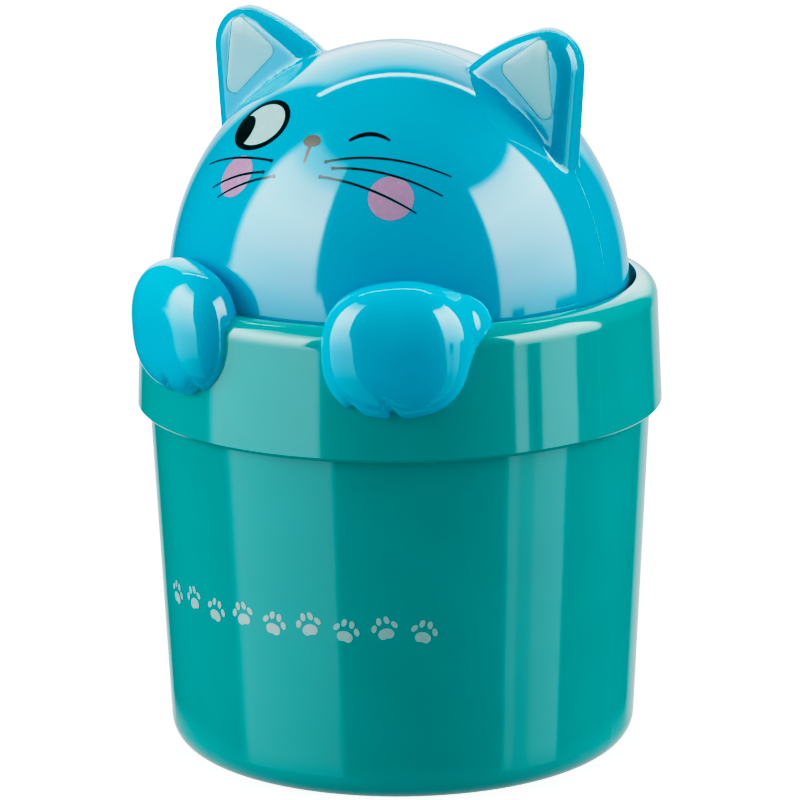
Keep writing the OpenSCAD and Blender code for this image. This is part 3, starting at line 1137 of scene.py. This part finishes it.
def add_world():
    """White for the camera, even fill for rough surfaces, softboxes in a dim room for glossy ones."""
    sky = Sky()
    level = sky.math("SQRT", sky.math("SUBTRACT", 1.0001, sky.product(sky.height, sky.height)))
    toward = sky.math("DIVIDE", sky.along(around(BACKDROP_AZIMUTH, 0)), level)
    wider_above = sky.product(sky.math("MAXIMUM", sky.height, 0.0), BACKDROP_WIDER)
    behind = sky.smooth(sky.math("ADD", toward, wider_above), *BACKDROP_EDGE)
    rise = sky.smooth(sky.height, *BACKDROP_RISE, BACKDROP_LOW, 1.0)
    fall = sky.smooth(sky.height, *BACKDROP_FALL, 1.0, 0.0)
    backdrop = sky.product(behind, rise, fall, BACKDROP_RADIANCE)
    seen = sky.math("ADD", sky.math("ADD", softboxes(sky), backdrop), ROOM_RADIANCE)
    lit = sky.choose("Is Glossy Ray", sky.background(FILL_RADIANCE), sky.background(seen))
    final = sky.choose("Is Camera Ray", lit, sky.background(WHITE_LIGHT))
    out = sky.tree.nodes.new("ShaderNodeOutputWorld")
    sky.tree.links.new(final, out.inputs["Surface"])


FLOOR_SIDE = 6.0
FLOOR_CELLS = 12
# Floor as the camera sees it: white paper that also glows; as rough surfaces see it: grey
FLOOR_GLOW = 2.4
FLOOR_PAPER = 0.8
FLOOR_GREY = 0.32
# What glossy surfaces see of the floor: pale close to the bin, nothing further away
FLOOR_MIRRORED = 0.9
FLOOR_NEAR = (0.060, 0.080)


def floor_material():
    s = Shader("floor_white")
    path = s.add("ShaderNodeLightPath")

    def matt(level):
        node = s.add("ShaderNodeBsdfDiffuse")
        node.inputs["Color"].default_value = (level, level, level, 1)
        return node.outputs[0]

    def glow(strength):
        node = s.add("ShaderNodeEmission")
        node.inputs["Strength"].default_value = strength
        return node.outputs[0]

    def mix(share, first, second):
        node = s.add("ShaderNodeMixShader")
        s.link(share, node.inputs["Fac"])
        s.link(first, node.inputs[1])
        s.link(second, node.inputs[2])
        return node.outputs[0]

    paper = s.add("ShaderNodeAddShader")
    s.link(matt(FLOOR_PAPER), paper.inputs[0])
    s.link(glow(FLOOR_GLOW), paper.inputs[1])
    shown = mix(path.outputs["Is Camera Ray"], matt(FLOOR_GREY), paper.outputs[0])
    away = s.add("ShaderNodeVectorMath", operation="LENGTH")
    s.link(s.coords(), away.inputs[0])
    near = s.span(away.outputs["Value"], 1.0, 0.0, *FLOOR_NEAR)
    clear = s.add("ShaderNodeBsdfTransparent").outputs[0]
    mirrored = mix(near, clear, glow(FLOOR_MIRRORED))
    s.link(mix(path.outputs["Is Glossy Ray"], shown, mirrored), s.out.inputs["Surface"])
    return s.material


def add_floor():
    n = FLOOR_CELLS
    ticks = [FLOOR_SIDE * (k / n - 0.5) for k in range(n + 1)]
    verts = [(x, y, 0.0) for y in ticks for x in ticks]
    corners = [j * (n + 1) + i for j in range(n) for i in range(n)]
    faces = [(k, k + 1, k + n + 2, k + n + 1) for k in corners]
    floor = new_object("floor", verts, faces)
    set_material(floor, floor_material())


# ---------- assembly ----------

def dress_cad(materials):
    looks = {
        "teal": ["bucket", "collar"],
        "steel": ["pivot_pin_left", "pivot_pin_right", "paw_screws", "weight_left", "weight_right",
                  "hanger_screws", "shell_screws"],
        "white": ["pivot_bush_left", "pivot_bush_right", "weight_hanger_left", "weight_hanger_right"],
    }
    for look, nodes in looks.items():
        for node in nodes:
            set_material(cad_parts[node], materials[look])


def make_materials():
    return {
        "blue": moulded_plastic("blue_gloss", srgb(0, 168, 209)),
        # Paws: the dome's blue plastic made lighter to paint in the light the thin paws gather; painted
        # light, not a different plastic
        "paw_painted_light_blue": moulded_plastic("paw_painted_light_gloss", srgb(0, 188, 232)),
        "teal": moulded_plastic("teal_gloss", srgb(0, 163, 163)),
        "mint": moulded_plastic("mint_satin", srgb(140, 190, 198), rough=0.3, grain=0.000003),
        "white": moulded_plastic("white_satin", srgb(236, 236, 230), rough=0.32, grain=0.000005),
        "steel": turned_steel("steel", (0.6, 0.61, 0.63, 1)),
        "ink": pad_ink("black_ink", srgb(8, 8, 9), rough=0.12),
        "nose": pad_ink("nose_ink", srgb(90, 71, 54)),
        "white_ink": pad_ink("white_ink", srgb(172, 206, 205)),
        "pink_ink": pad_ink("pink_ink", srgb(178, 144, 178)),
    }


# Response of the picture: input and output light of the highlights, and the deeper black of red
WHITE_LIGHT = 4.0
SHOULDER = [(0.42, 0.42), (0.76, 0.65), (0.96, 0.74), (1.2, 0.80), (1.8, 0.90), (3.0, 1.0), (4.0, 1.0)]
RED_TOE = [(0.06, 0.0), (0.10, 0.03), (0.17, 0.10), (0.28, 0.23)]


def set_response():
    """Soft shoulder for highlights, as in a studio photograph; white stays white."""
    view = bpy.context.scene.view_settings
    view.view_transform = "Standard"
    view.use_curve_mapping = True
    mapping = view.curve_mapping
    mapping.use_clip = False
    mapping.white_level = (WHITE_LIGHT, WHITE_LIGHT, WHITE_LIGHT)
    for curve, toe in zip(mapping.curves, (RED_TOE, [], [])):
        first, last = curve.points[0], curve.points[-1]
        first.location = (0.0, 0.0)
        last.location = (1.0, 1.0)
        for light, shown in toe + SHOULDER[:-1]:
            curve.points.new(light / WHITE_LIGHT, shown)
        for point in curve.points:
            point.handle_type = "VECTOR"
    mapping.update()


def main():
    set_response()
    add_camera()
    add_world()
    add_floor()
    for panel in PANELS:
        add_panel(*panel)
    looks = make_materials()
    dress_cad(looks)
    for front in (True, False):
        set_material(head_shell(front), looks["blue"])
    set_material(head_bosses(), looks["blue"])
    set_material(inlay(1, "ear_inlay_right"), looks["mint"])
    set_material(inlay(-1, "ear_inlay_left"), looks["mint"])
    # The paws get the lightened blue, a painted-light copy of the dome's plastic
    set_material(paw(1, "paw_right"), looks["paw_painted_light_blue"])
    set_material(paw(-1, "paw_left"), looks["paw_painted_light_blue"])
    face_prints(looks["ink"], looks["white_ink"], looks["pink_ink"], looks["nose"])
    bucket_prints(looks["white_ink"])


main()
